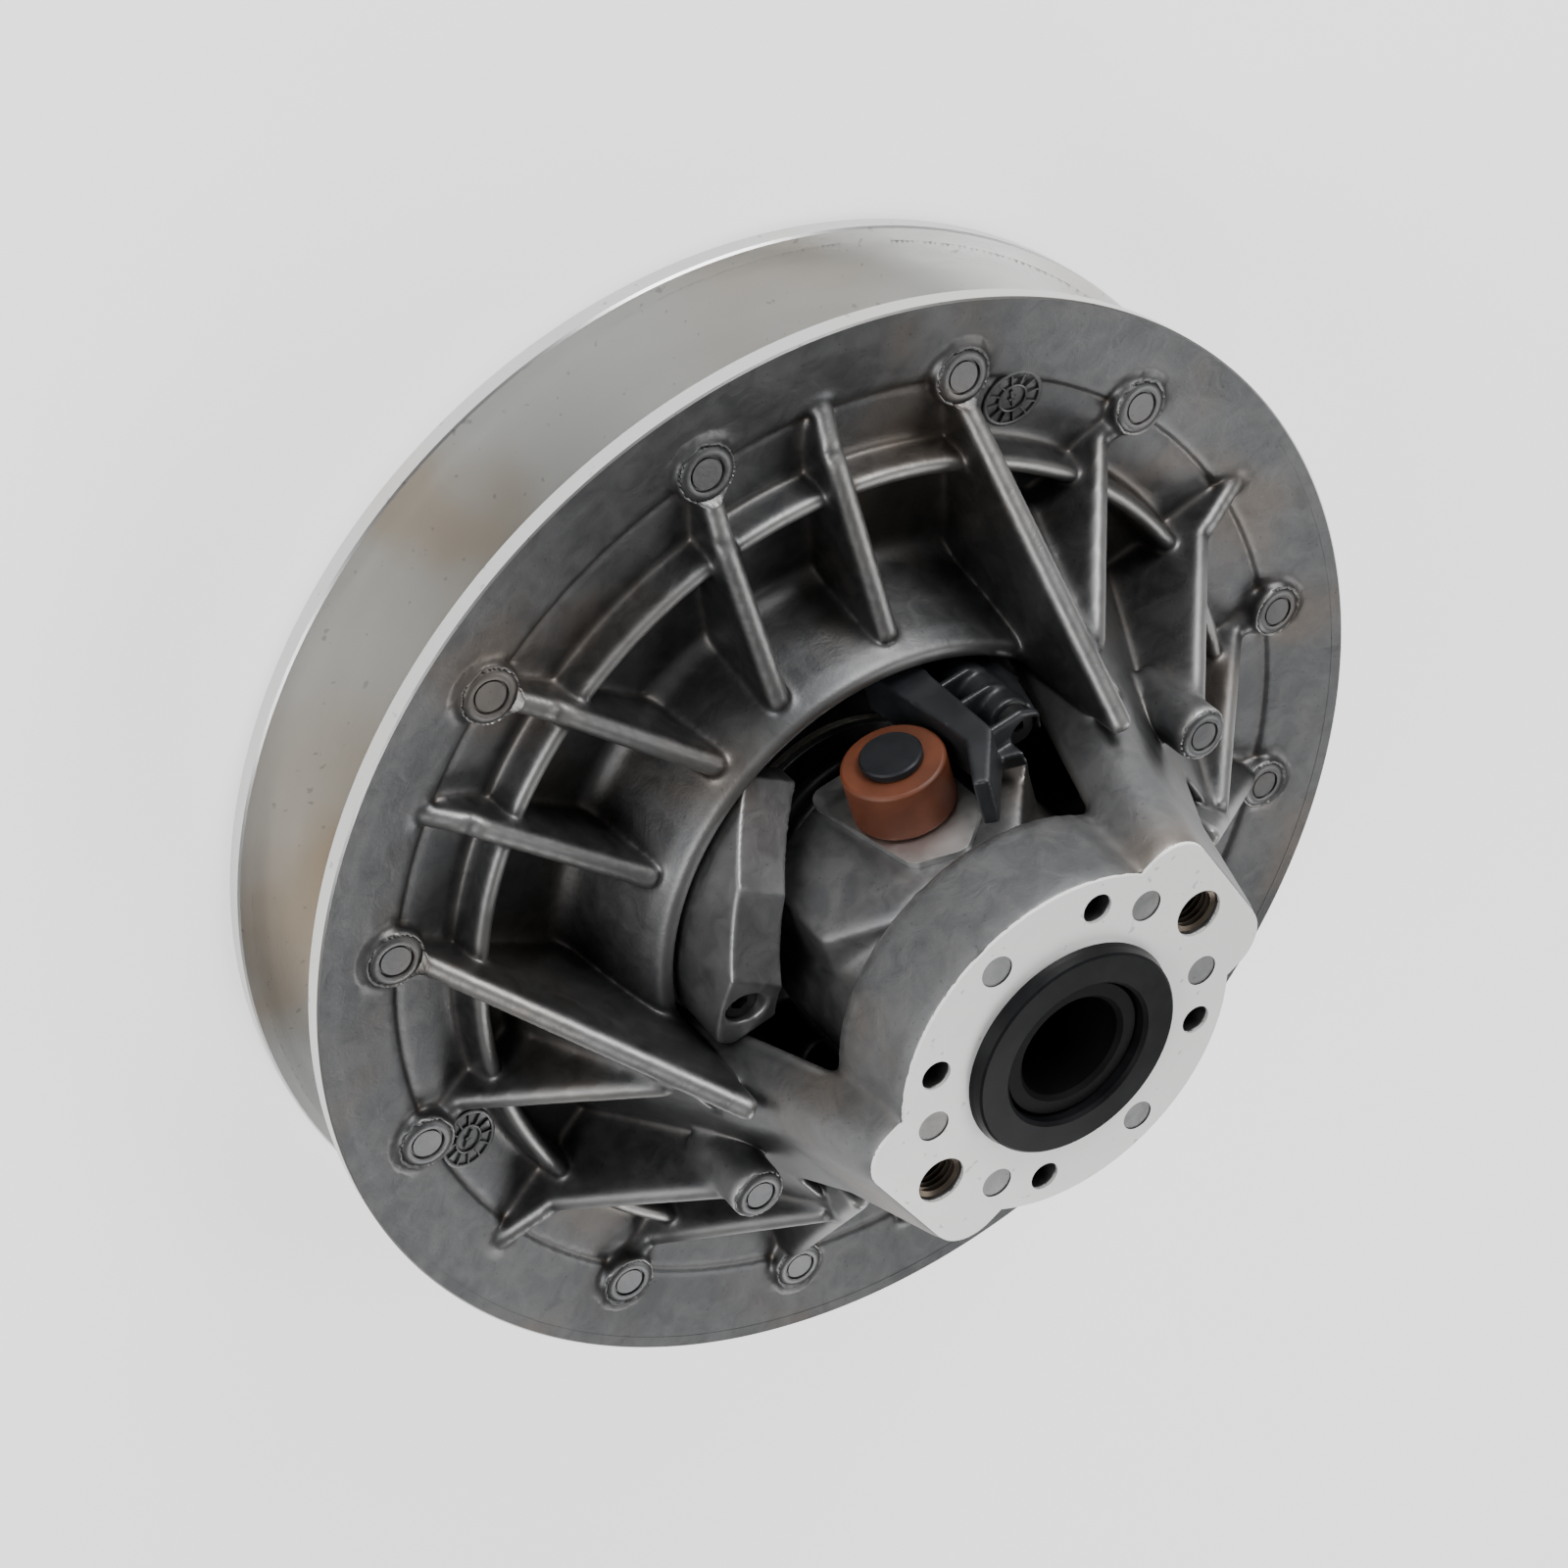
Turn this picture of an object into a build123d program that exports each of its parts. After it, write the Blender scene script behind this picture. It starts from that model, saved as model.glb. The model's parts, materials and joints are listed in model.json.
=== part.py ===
from build123d import *
import math
import os

# ---------------------------------------------------------------------------
# Driven pulley of a belt CVT.  Millimetres, +Z up along the pulley axis.
# Origin: centre of the rear face of the fixed half.  The fixed half is at the
# bottom, the neck of the sliding half points up, the two towers stand on the
# X axis and the two windows face +Y and -Y.
# Side "a" is the -Y window, side "b" its twin, half a turn round the axis.
# ---------------------------------------------------------------------------

# --- groove and rims
rim_radius = 140.0
rim_land = 5.3                     # height of the machined edge of each rim
rear_rim_z = 2.2                   # rear edge of the fixed rim
face_angle = 13.0                  # slope of the belt faces
belt_nose_radius = 57.0            # inner end of the belt faces

# --- heights of the sliding half when the groove is closed
front_rim_z = 52.0
lip_z = 64.5
neck_rear_z = 104.0
neck_face_z = 127.5
collar_top_z = 130.7
cavity_floor_z = 34.0

# --- hub post and bushings
post_radius = 17.60
post_bore_radius = 12.5
post_top_z = 128.3
running_gap = 0.06
bush_wall = 2.4

# --- casting of the sliding half
web_wall = 4.0
boss_radius = 6.7
boss_circle = 121.7
boss_top_z = 50.4
mark_radius = 3.75                 # round ejector marks
mark_depth = 0.3
rib_wall = 4.6
tower_half_width = 23.0
tower_wall = 5.0
lip_inner_radius = 61.2

# --- neck face
neck_radius = 42.5
neck_root_radius = 44.0
lobe_reach = 49.0
lobe_corner = 9.0
thread_spacing = 39.6              # from the axis to each threaded hole
thread_radius = 5.0
insert_wall = 0.75
thread_depth = 22.0
plain_hole_radius = 3.55
plain_hole_circle = 35.4
plain_hole_angle = 47.4
collar_radius = 24.9
collar_foot_radius = 26.2

# --- rollers (radial axis)
roller_angle = 71.0                # side b; side a is half a turn further
roller_z = 79.0
roller_radius = 11.7
roller_inner = 40.2
roller_outer = 53.2
pin_radius = 5.0
pin_head_radius = 7.0
sleeve_wall = 1.5

# --- carrier and spring
seat_distance = 38.1               # flat seats of the rollers, from the axis
carrier_top_z = 102.5
carrier_floor_z = 96.0
carrier_bore = 31.0
carrier_hub_radius = 22.8
spring_inner = 24.4
spring_wire = 4.4
plate_top_z = 38.3
slip_top_z = 36.0

slope = math.tan(math.radians(face_angle))
fixed_rim_front_z = rear_rim_z + rim_land
sliding_rim_rear_z = front_rim_z - rim_land
sides = (("a", 180.0), ("b", 0.0))


def fixed_face_z(radius):
    """Height of the belt face of the fixed half."""
    return fixed_rim_front_z + (rim_radius - radius) * slope


def sliding_face_z(radius):
    """Height of the belt face of the sliding half."""
    return sliding_rim_rear_z - (rim_radius - radius) * slope


def polar(radius, angle):
    """Plan position from a radius and an angle in degrees."""
    return (radius * math.cos(math.radians(angle)), radius * math.sin(math.radians(angle)))


def radial_plane(angle, distance=0.0):
    """Plane across a radius: local x runs anticlockwise, local y up, local z outward."""
    ux, uy = polar(1.0, angle)
    return Plane(origin=(distance * ux, distance * uy, 0), x_dir=(-uy, ux, 0), z_dir=(ux, uy, 0))


def upright_plane(start, end):
    """Vertical plane through two plan points: local x runs from start to end, local y up."""
    dx = end[0] - start[0]
    dy = end[1] - start[1]
    return Plane(origin=(start[0], start[1], 0), x_dir=(dx, dy, 0), z_dir=(dy, -dx, 0))


def finish(part, label):
    """Label a finished piece and write its STEP file."""
    part.label = label
    export_step(part, f"parts/{label}.step")


def make_rib(start, end, wall):
    """Upright rib between two top points (x, y, z), rooted in the web, with a rounded top."""
    length = math.dist(start[:2], end[:2])
    root_start = sliding_face_z(math.hypot(start[0], start[1])) + 1.5
    root_end = sliding_face_z(math.hypot(end[0], end[1])) + 1.5
    with BuildPart() as rib:
        with BuildSketch(upright_plane(start, end)):
            with BuildLine():
                Polyline((0, start[2]), (length, end[2]), (length, root_end), (0, root_start), close=True)
            make_face()
        extrude(amount=wall / 2, both=True)
        top = rib.faces().sort_by(lambda face: face.normal_at().Z)[-1]
        fillet(top.edges(), wall * 0.42)
    return rib.part


def four_ways(points):
    """The same list of points in all four quarters."""
    return [[(x * sx, y * sy, z) for x, y, z in points] for sx in (1, -1) for sy in (1, -1)]


os.makedirs("parts", exist_ok=True)

# ---------------------------------------------------------------------------
# fixed half
# ---------------------------------------------------------------------------
fixed_hub_radius = 33.0
fixed_nose_z = fixed_face_z(belt_nose_radius)
fixed_web = 7.0
rear_rib_count = 18
rear_rib_wall = 4.0
rear_rib_z = 3.6
rear_rib_outer = 131.0
rear_rib_inner = 28.0
rear_ring_radius = 82.0
post_foot_radius = 23.4
post_foot_height = 4.0

with BuildPart() as fixed_sheave:
    with BuildSketch(Plane.XZ):
        with BuildLine():
            Polyline(
                (post_radius, 0),
                (fixed_hub_radius, 0),
                (fixed_hub_radius + 2, fixed_nose_z - fixed_web),
                (belt_nose_radius, fixed_nose_z - fixed_web),
                (rim_radius - 10, fixed_face_z(rim_radius - 10) - fixed_web),
                (rim_radius - 8, rear_rim_z),
                (rim_radius, rear_rim_z),
                (rim_radius, fixed_rim_front_z),
                (belt_nose_radius, fixed_nose_z),
                (post_radius, fixed_nose_z),
                close=True,
            )
        make_face()
    revolve(axis=Axis.Z)
    # radial ribs and a ring rib behind the web
    with BuildSketch(Plane.XY.offset(rear_rib_z)):
        with PolarLocations((rear_rib_inner + rear_rib_outer) / 2, rear_rib_count):
            Rectangle(rear_rib_outer - rear_rib_inner, rear_rib_wall)
    extrude(until=Until.NEXT)
    with BuildSketch(Plane.XY.offset(rear_rib_z)):
        Circle(rear_ring_radius)
        Circle(rear_ring_radius - rear_rib_wall, mode=Mode.SUBTRACT)
    extrude(amount=fixed_face_z(rear_ring_radius) - fixed_web + 1 - rear_rib_z)
    # recess for the foot of the post
    with BuildSketch(Plane.XY):
        Circle(post_foot_radius + 0.1)
    extrude(amount=post_foot_height, mode=Mode.SUBTRACT)
finish(fixed_sheave.part, "fixed_sheave")

# ---------------------------------------------------------------------------
# hub post with its rings and key
# ---------------------------------------------------------------------------
ring_wall = 1.5
ring_groove_radius = 16.4
post_ring_radius = 20.5
post_ring_z = fixed_nose_z + 0.05
carrier_hub_top_z = 98.0
carrier_ring_z = carrier_hub_top_z + 0.05
carrier_ring_radius = 21.5
key_angle = 161.0
key_width = 5.0
key_inner = 15.4
key_outer = 20.0
key_bottom_z = 70.0
key_top_z = 94.0
shaft_keyway = 8.0

with BuildPart() as hub_post:
    with BuildSketch(Plane.XZ):
        with BuildLine():
            Polyline(
                (post_bore_radius, 0),
                (post_foot_radius, 0),
                (post_foot_radius, post_foot_height - 0.05),
                (post_radius, post_foot_height - 0.05),
                (post_radius, post_top_z - 1),
                (post_radius - 1, post_top_z),
                (post_bore_radius + 1, post_top_z),
                (post_bore_radius, post_top_z - 1),
                close=True,
            )
        make_face()
    revolve(axis=Axis.Z)
    for groove_z in (post_ring_z, carrier_ring_z):
        with BuildSketch(Plane.XY.offset(groove_z - 0.05)):
            Circle(post_radius + 1)
            Circle(ring_groove_radius - 0.05, mode=Mode.SUBTRACT)
        extrude(amount=ring_wall + 0.1, mode=Mode.SUBTRACT)
    # keyways for the carrier and for the gearbox shaft
    with BuildSketch(radial_plane(key_angle, key_inner - 0.05)):
        with Locations((0, (key_bottom_z + key_top_z) / 2)):
            Rectangle(key_width + 0.06, key_top_z - key_bottom_z + 0.1)
    extrude(amount=6, mode=Mode.SUBTRACT)
    with BuildSketch(Plane.XY):
        with Locations((0, -post_bore_radius)):
            Rectangle(shaft_keyway, 5.6)
    extrude(amount=60, mode=Mode.SUBTRACT)
finish(hub_post.part, "hub_post")


def make_ring(bottom_z, outer_radius):
    """Open retaining ring in a groove of the post."""
    with BuildPart() as ring:
        with BuildSketch(Plane.XY.offset(bottom_z)):
            Circle(outer_radius)
            Circle(ring_groove_radius, mode=Mode.SUBTRACT)
            with Locations((0, outer_radius)):
                Rectangle(8, 12, mode=Mode.SUBTRACT)
        extrude(amount=ring_wall)
    return ring.part


finish(make_ring(post_ring_z, post_ring_radius), "post_ring")
finish(make_ring(carrier_ring_z, carrier_ring_radius), "carrier_ring")

with BuildPart() as carrier_key:
    with BuildSketch(radial_plane(key_angle, key_inner)):
        with Locations((0, (key_bottom_z + key_top_z) / 2)):
            Rectangle(key_width, key_top_z - key_bottom_z)
    extrude(amount=key_outer - key_inner)
finish(carrier_key.part, "carrier_key")

# ---------------------------------------------------------------------------
# towers of the sliding half: each stands on the X axis and carries the neck
# ---------------------------------------------------------------------------
tower_top_side = [
    (34, neck_face_z), (lobe_reach, neck_face_z), (57, 100), (64, 85), (64, 50), (56.5, 48),
    (52, lip_z), (47.1, 79.4), (38.6, neck_rear_z + 1.5), (34, neck_rear_z + 1.5),
]
tower_foot_side = [(64, 85), (88, 40), (88, 38), (60, 33), (56, 60)]
tower_hollow_side = [
    (30, 52), (59, 52), (68, 59), (58.6, 84), (51.6, 99), (47.5, neck_rear_z), (30, neck_rear_z),
]
tower_fan = [(50, -23), (57, -23.5), (86, -86), (100, -86), (100, 86), (86, 86), (57, 23.5), (50, 23)]
tower_limit = [(20, 30), (94, 38), (94, 39), (74.5, 88), (63.5, 101), (60, neck_face_z), (20, neck_face_z)]

with BuildPart() as tower_foot:
    with BuildSketch(Plane.XZ):
        with BuildLine():
            Polyline(*tower_foot_side, close=True)
        make_face()
        mirror(about=Plane.YZ)
    extrude(amount=90, both=True)
    with BuildSketch(Plane.XY):
        with BuildLine():
            Polyline(*tower_fan, close=True)
        make_face()
        mirror(about=Plane.YZ)
    extrude(amount=neck_face_z, mode=Mode.INTERSECT)
    with BuildSketch(Plane.XZ):
        with BuildLine():
            Polyline(*tower_limit, close=True)
        make_face()
    revolve(axis=Axis.Z, mode=Mode.INTERSECT)

with BuildPart() as tower_top:
    with BuildSketch(Plane.XZ):
        with BuildLine():
            Polyline(*tower_top_side, close=True)
        make_face()
        mirror(about=Plane.YZ)
    extrude(amount=tower_half_width, both=True)
    outer_corners = [
        edge for edge in tower_top.edges()
        if abs(abs(edge.center().Y) - tower_half_width) < 0.1
        and abs(edge.center().X) > 50 and edge.center().Z > 86
    ]
    fillet(outer_corners, lobe_corner)

with BuildPart() as tower_hollow:
    with BuildSketch(Plane.XZ):
        with BuildLine():
            Polyline(*tower_hollow_side, close=True)
        make_face()
        mirror(about=Plane.YZ)
    extrude(amount=tower_half_width - tower_wall, both=True)

# ---------------------------------------------------------------------------
# ribs of the sliding half, as top lines in one quarter
# ---------------------------------------------------------------------------
rib_lines = [
    [(31.5, 117.5, 50.0), (24.4, 104.2, 54.4), (9.0, 66.3, 61.8)],     # from the bosses beside the windows
    [(60.0, 108.0, 48.5), (53.6, 99.5, 54.5), (36.2, 57.5, 61.8)],     # from the band
    [(86.0, 86.5, 50.2), (83.0, 80.0, 52.0), (57.0, 23.5, 100.0)],     # edge of the tower
    [(114.0, 40.0, 49.8), (104.0, 40.3, 48.0), (65.0, 35.0, 88.0)],    # side of the tower
]
middle_rib_line = [(126.0, 0.0, 49.0), (109.0, 0.0, 53.8), (73.0, 0.0, 92.0)]
ribs = []
for line in rib_lines:
    for points in four_ways(line):
        for start, end in zip(points, points[1:]):
            ribs.append(make_rib(start, end, rib_wall))
for side in (1, -1):
    points = [(x * side, y, z) for x, y, z in middle_rib_line]
    for start, end in zip(points, points[1:]):
        ribs.append(make_rib(start, end, rib_wall))

# ---------------------------------------------------------------------------
# sliding half: rim, web, lip, towers and neck in one casting
# ---------------------------------------------------------------------------
sliding_nose_z = sliding_face_z(belt_nose_radius)
bush_outer_radius = post_radius + running_gap + bush_wall
sleeve_radius = 23.5
sleeve_bottom_z = 29.6
sleeve_top_z = 46.0
cavity_radius = 62.5
band_radius = 120.7
ring_rib_outer = 104.0
ring_rib_inner = 99.4
ring_rib_top_z = 51.5
tower_boss = (71.0, 95.0)          # distance from the axis and height
boss_angles = (20, 45, 75, 105, 135, 160, 200, 225, 255, 285, 315, 340)
face_mark_angles = (25, 90, 155, 205, 270, 335)
insert_radius = thread_radius + insert_wall

ramp_frame = 118.0                 # direction that the aluminium ramps are cut along (side b)
ramp_inner_radius = 46.0
ramp_outer_radius = 59.5
ramp_seat_z = 60.0
buffer_inner = 42.5
buffer_seat_z = 52.0
seat_post_radius = 6.0
screw_hole_radius = 2.1
ramp_screw_at = polar(53.5, 142.9)
buffer_screw_at = polar(53.5, 38.2)

with BuildPart() as sliding_sheave:
    with BuildSketch(Plane.XZ):
        with BuildLine():
            Polyline(
                (lip_inner_radius, 62.0), (cavity_radius, 38), (cavity_radius - 4, cavity_floor_z),
                (sleeve_radius, cavity_floor_z), (sleeve_radius, sleeve_top_z),
                (bush_outer_radius, sleeve_top_z), (bush_outer_radius, sleeve_bottom_z),
                (sleeve_radius + 0.5, sleeve_bottom_z), (sleeve_radius + 0.5, sliding_nose_z),
                (belt_nose_radius, sliding_nose_z), (rim_radius, sliding_rim_rear_z),
                (rim_radius, front_rim_z), (band_radius, 47.0), (band_radius - 0.8, 45.9),
                (ring_rib_outer + 0.8, sliding_face_z(ring_rib_outer) + web_wall),
                (ring_rib_outer - 0.6, ring_rib_top_z - 1.6),
            )
            ThreePointArc(
                (ring_rib_outer - 0.6, ring_rib_top_z - 1.6),
                ((ring_rib_outer + ring_rib_inner) / 2, ring_rib_top_z),
                (ring_rib_inner + 0.6, ring_rib_top_z - 1.6),
            )
            Polyline(
                (ring_rib_inner + 0.6, ring_rib_top_z - 1.6),
                (ring_rib_inner, sliding_face_z(ring_rib_inner) + web_wall + 1),
                (ring_rib_inner - 1.5, sliding_face_z(ring_rib_inner) + web_wall),
                (77, sliding_face_z(77) + web_wall), (73.5, 39.5), (70.5, 50), (67.2, 59.5), (65.4, 63),
            )
            ThreePointArc((65.4, 63), (63.4, lip_z), (lip_inner_radius, 62.0))
        make_face()
    revolve(axis=Axis.Z)
    add(tower_foot.part)
    add(tower_top.part)
    add(tower_hollow.part, mode=Mode.SUBTRACT)
    # neck
    with BuildSketch(Plane.XZ):
        with BuildLine():
            Polyline(
                (collar_radius, neck_rear_z), (neck_root_radius, neck_rear_z),
                (neck_radius, neck_face_z), (collar_radius, neck_face_z), close=True,
            )
        make_face()
    revolve(axis=Axis.Z)
    # ribs and bosses
    add(ribs)
    for angle in boss_angles:
        with BuildSketch(Plane.XY.offset(sliding_face_z(boss_circle) + 1.5)):
            with Locations(polar(boss_circle, angle)):
                Circle(boss_radius)
        extrude(amount=boss_top_z - sliding_face_z(boss_circle) - 1.5)
    for side in (1, -1):
        with BuildSketch(Plane.XY.offset(72)):
            with Locations((side * tower_boss[0], 0)):
                Circle(6.2)
        extrude(amount=tower_boss[1] - 72)
    # seats of the ramps and of the buffers on the cavity floor
    for _, turn in sides:
        with BuildSketch(Plane.XY.offset(cavity_floor_z - 2)):
            with Locations(Location((0, 0, 0), (0, 0, turn))):
                with Locations(ramp_screw_at):
                    Circle(seat_post_radius)
                with Locations(buffer_screw_at):
                    Circle(seat_post_radius)
        extrude(amount=buffer_seat_z - cavity_floor_z + 2)
        with BuildSketch(Plane.XY.offset(buffer_seat_z - 1)):
            with Locations(Location((0, 0, 0), (0, 0, turn))):
                with Locations(ramp_screw_at):
                    Circle(seat_post_radius)
        extrude(amount=ramp_seat_z - buffer_seat_z + 1)
    # marks of the ejector pins
    for angle in boss_angles:
        with BuildSketch(Plane.XY.offset(boss_top_z)):
            with Locations(polar(boss_circle, angle)):
                Circle(mark_radius)
        extrude(amount=-mark_depth, mode=Mode.SUBTRACT)
    with BuildSketch(Plane.XY.offset(neck_face_z)):
        for angle in face_mark_angles:
            with Locations(polar(plain_hole_circle, angle)):
                Circle(mark_radius)
    extrude(amount=-mark_depth, mode=Mode.SUBTRACT)
    # threaded holes for the opening bolts, and plain holes
    with BuildSketch(Plane.XY.offset(neck_face_z)):
        with Locations((thread_spacing, 0), (-thread_spacing, 0)):
            Circle(insert_radius)
    extrude(amount=neck_rear_z - neck_face_z - 1, mode=Mode.SUBTRACT)
    with BuildSketch(Plane.XY.offset(neck_face_z)):
        for angle in (plain_hole_angle, 180 - plain_hole_angle, 180 + plain_hole_angle, -plain_hole_angle):
            with Locations(polar(plain_hole_circle, angle)):
                Circle(plain_hole_radius)
    extrude(amount=-14, mode=Mode.SUBTRACT)
    # tapped holes of the ramp and buffer screws
    for _, turn in sides:
        with BuildSketch(Plane.XY.offset(ramp_seat_z)):
            with Locations(Location((0, 0, 0), (0, 0, turn))):
                with Locations(ramp_screw_at, buffer_screw_at):
                    Circle(screw_hole_radius)
        extrude(amount=cavity_floor_z - ramp_seat_z + 3, mode=Mode.SUBTRACT)
finish(sliding_sheave.part, "sliding_sheave")

with BuildPart() as inner_bushing:
    with BuildSketch(Plane.XY.offset(sleeve_bottom_z + 0.4)):
        Circle(bush_outer_radius)
        Circle(post_radius + running_gap, mode=Mode.SUBTRACT)
    extrude(amount=sleeve_top_z - sleeve_bottom_z - 0.8)
finish(inner_bushing.part, "inner_bushing")

with BuildPart() as neck_bushing:
    with BuildSketch(Plane.XZ):
        with BuildLine():
            Polyline(
                (post_radius + running_gap, neck_rear_z), (collar_radius, neck_rear_z),
                (collar_radius, neck_face_z), (collar_foot_radius, neck_face_z),
                (collar_foot_radius - 0.4, neck_face_z + 1.1), (collar_radius + 0.5, collar_top_z - 0.4),
                (collar_radius, collar_top_z), (post_radius + running_gap + 0.8, collar_top_z),
                (post_radius + running_gap, collar_top_z - 0.8), close=True,
            )
        make_face()
    revolve(axis=Axis.Z)
finish(neck_bushing.part, "neck_bushing")

with BuildPart() as thread_inserts:
    with BuildSketch(Plane.XY.offset(neck_face_z - 0.6)):
        with Locations((thread_spacing, 0), (-thread_spacing, 0)):
            Circle(insert_radius)
            Circle(insert_radius - 1.3, mode=Mode.SUBTRACT)
    extrude(amount=-thread_depth)
    mouths = thread_inserts.edges().filter_by(GeomType.CIRCLE).group_by(Axis.Z)[-1].group_by(SortBy.RADIUS)[0]
    chamfer(mouths, 0.7)
finish(thread_inserts.part, "thread_inserts")

# ---------------------------------------------------------------------------
# roller carrier
# ---------------------------------------------------------------------------
arm_bottom_z = 62.0
arm_outline = [
    (-28, arm_bottom_z), (-28, 85), (-17, 98.5), (-14, carrier_top_z), (18, carrier_top_z), (20, 101),
    (32, 89), (32, arm_bottom_z),
]
side_facet_angle = 100.0           # second outer face of each arm (side b)
side_facet_distance = 40.5
carrier_hub_bottom_z = 68.0
carrier_hub_bore = post_radius + 0.04

with BuildPart() as roller_carrier:
    with BuildSketch(Plane.XY.offset(arm_bottom_z)):
        Circle(36)
    extrude(amount=carrier_top_z - arm_bottom_z)
    for _, turn in sides:
        with BuildSketch(radial_plane(roller_angle + turn, seat_distance)):
            with BuildLine():
                Polyline(*arm_outline, close=True)
            make_face()
        extrude(amount=-seat_distance + 12)
    for _, turn in sides:
        with BuildSketch(radial_plane(side_facet_angle + turn, side_facet_distance)):
            with Locations((0, 85)):
                Rectangle(90, 60)
        extrude(amount=20, mode=Mode.SUBTRACT)
    with BuildSketch(Plane.XY.offset(arm_bottom_z)):
        Circle(carrier_bore)
    extrude(amount=carrier_floor_z - arm_bottom_z, mode=Mode.SUBTRACT)
    with BuildSketch(Plane.XY.offset(carrier_hub_bottom_z)):
        Circle(carrier_hub_radius)
    extrude(amount=carrier_hub_top_z - carrier_hub_bottom_z)
    with BuildSketch(Plane.XY.offset(carrier_hub_top_z)):
        Circle(carrier_hub_radius + 1.2)
    extrude(amount=10, mode=Mode.SUBTRACT)
    with BuildSketch(Plane.XY.offset(arm_bottom_z)):
        Circle(carrier_hub_bore)
    extrude(amount=60, mode=Mode.SUBTRACT)
    with BuildSketch(radial_plane(key_angle, key_inner)):
        with Locations((0, (key_bottom_z + key_top_z) / 2)):
            Rectangle(key_width + 0.06, key_top_z - key_bottom_z + 0.1)
    extrude(amount=key_outer - key_inner + 0.05, mode=Mode.SUBTRACT)
    for _, turn in sides:
        with BuildSketch(radial_plane(roller_angle + turn, carrier_bore - 2)):
            with Locations((0, roller_z)):
                Circle(pin_radius)
        extrude(amount=20, mode=Mode.SUBTRACT)
finish(roller_carrier.part, "roller_carrier")

# ---------------------------------------------------------------------------
# rollers, their sleeves and pins, and the steel plates under them
# ---------------------------------------------------------------------------
plate_wall = 1.6
plate_outline = [(15, 60), (9.3, 95), (-2, 100), (-12.5, 91), (-12.5, 60)]


def make_disc(angle, start, length, outer_radius, hole_radius=0.0):
    """Disc or sleeve on a roller axis."""
    with BuildPart() as disc:
        with BuildSketch(radial_plane(angle, start)):
            with Locations((0, roller_z)):
                Circle(outer_radius)
                if hole_radius:
                    Circle(hole_radius, mode=Mode.SUBTRACT)
        extrude(amount=length)
    return disc.part


for name, turn in sides:
    axis_angle = roller_angle + turn
    length = roller_outer - roller_inner
    with BuildPart() as roller_pin:
        add(make_disc(axis_angle, carrier_bore + 0.7, roller_outer + 0.5 - carrier_bore - 0.7, pin_radius))
        add(make_disc(axis_angle, roller_outer + 0.4, 1.8, pin_head_radius))
        chamfer(roller_pin.edges().filter_by(GeomType.CIRCLE).sort_by(SortBy.RADIUS)[-1], 0.4)
    finish(roller_pin.part, f"roller_pin_{name}")
    sleeve = make_disc(axis_angle, roller_inner, length, pin_radius + 0.05 + sleeve_wall, pin_radius + 0.05)
    finish(sleeve, f"roller_sleeve_{name}")
    with BuildPart() as roller:
        add(make_disc(axis_angle, roller_inner, length, roller_radius, pin_radius + 0.1 + sleeve_wall))
        chamfer(roller.edges().filter_by(GeomType.CIRCLE).group_by(SortBy.RADIUS)[-1], 0.6)
    finish(roller.part, f"roller_{name}")
    with BuildPart() as thrust_plate:
        with BuildSketch(radial_plane(axis_angle, seat_distance)) as plate_face:
            with BuildLine():
                Polyline(*plate_outline, close=True)
            make_face()
            fillet(plate_face.vertices(), 4)
            with Locations((0, roller_z)):
                Circle(pin_radius + 0.05, mode=Mode.SUBTRACT)
        extrude(amount=plate_wall)
    finish(thrust_plate.part, f"thrust_plate_{name}")

# ---------------------------------------------------------------------------
# aluminium ramps and plastic buffers inside the windows, with their screws
# ---------------------------------------------------------------------------
ramp_outline = [
    (15.2, 84.5), (-3, 76.4), (-22, 58.9), (-22, 52), (-4, 56), (8, ramp_seat_z), (34, ramp_seat_z), (34, 78.7),
]
buffer_arm_outline = [
    (-9.6, buffer_seat_z), (-13.0, 82), (-13.2, 89), (-6.5, 101), (-9.5, 103), (-19.5, 90), (-20.5, buffer_seat_z),
]
buffer_body_outline = [
    (-19, buffer_seat_z), (-19, 89), (-25, 92), (-34, 84), (-38, 70), (-38, buffer_seat_z),
]
inside_radius = 59.8
wall_gap = 0.4
ramp_screw_radius = 2.5
ramp_head_radius = 4.3
ramp_counterbore_z = 74.0
buffer_boss_top_z = 80.0
buffer_head_radius = 4.2
screw_tip_z = 40.0


def make_screw(position, head_radius, head_bottom_z, head_height, hex_radius):
    """Hexagon socket screw standing on its tip."""
    with BuildPart() as screw:
        with BuildSketch(Plane.XY.offset(screw_tip_z)):
            with Locations(position):
                Circle(screw_hole_radius - 0.05)
        extrude(amount=head_bottom_z - screw_tip_z)
        with BuildSketch(Plane.XY.offset(head_bottom_z)):
            with Locations(position):
                Circle(head_radius)
        extrude(amount=head_height)
        with BuildSketch(Plane.XY.offset(head_bottom_z + head_height)):
            with Locations(position):
                RegularPolygon(hex_radius, 6)
        extrude(amount=-0.6 * head_height, mode=Mode.SUBTRACT)
    return screw.part


def turned(position, turn):
    """Plan position carried round the axis."""
    return polar(math.hypot(*position), math.degrees(math.atan2(position[1], position[0])) + turn)


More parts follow.
